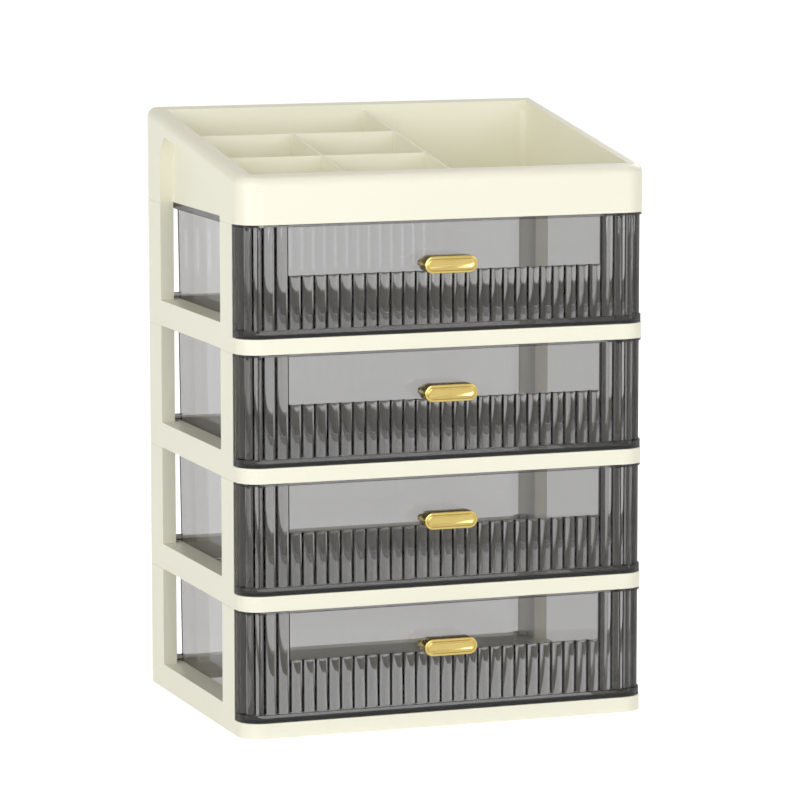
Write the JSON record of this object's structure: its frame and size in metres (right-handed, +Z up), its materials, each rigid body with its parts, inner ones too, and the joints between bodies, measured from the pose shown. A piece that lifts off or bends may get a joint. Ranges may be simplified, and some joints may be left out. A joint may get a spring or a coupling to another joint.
{
  "type": "desktop drawer storage box",
  "caption": "Desktop storage tower: open cream frames, smoke-clear fluted pull-out drawers with gold pulls, and a sloped tray with fixed compartments on top.",
  "frame": {"origin": "on the floor plane, under the middle of the whole object's bounding box, handles included", "axes": "+Z up, -Y towards the drawer fronts, +X to the right as seen from the front"},
  "size_m": [0.27, 0.214, 0.3797],
  "materials": {
    "cream_plastic": "smooth moulded plastic, softly glossy",
    "smoke_plastic": "clear smoke-grey moulded plastic, glossy",
    "gold_handle": "gold-plated moulding, polished",
    "screw_steel": "plain zinc-plated steel"
  },
  "bodies": {
    "cabinet": {"top_tray": "cream_plastic", "tier_frame_1": "cream_plastic", "tier_frame_2": "cream_plastic", "tier_frame_3": "cream_plastic", "tier_frame_4": "cream_plastic"},
    "drawer_1": {"drawer_1": "smoke_plastic", "handle_1": "gold_handle", "handle_screw_1_left": "screw_steel", "handle_screw_1_right": "screw_steel"},
    "drawer_2": {"drawer_2": "smoke_plastic", "handle_2": "gold_handle", "handle_screw_2_left": "screw_steel", "handle_screw_2_right": "screw_steel"},
    "drawer_3": {"drawer_3": "smoke_plastic", "handle_3": "gold_handle", "handle_screw_3_left": "screw_steel", "handle_screw_3_right": "screw_steel"},
    "drawer_4": {"drawer_4": "smoke_plastic", "handle_4": "gold_handle", "handle_screw_4_left": "screw_steel", "handle_screw_4_right": "screw_steel"}
  },
  "joints": [
    {"name": "drawer_1_slide", "type": "slide", "parent": "cabinet", "child": "drawer_1", "axis": [0, -1, 0], "range_m": [0, 0.135]},
    {"name": "drawer_2_slide", "type": "slide", "parent": "cabinet", "child": "drawer_2", "axis": [0, -1, 0], "range_m": [0, 0.135]},
    {"name": "drawer_3_slide", "type": "slide", "parent": "cabinet", "child": "drawer_3", "axis": [0, -1, 0], "range_m": [0, 0.135]},
    {"name": "drawer_4_slide", "type": "slide", "parent": "cabinet", "child": "drawer_4", "axis": [0, -1, 0], "range_m": [0, 0.135]}
  ]
}
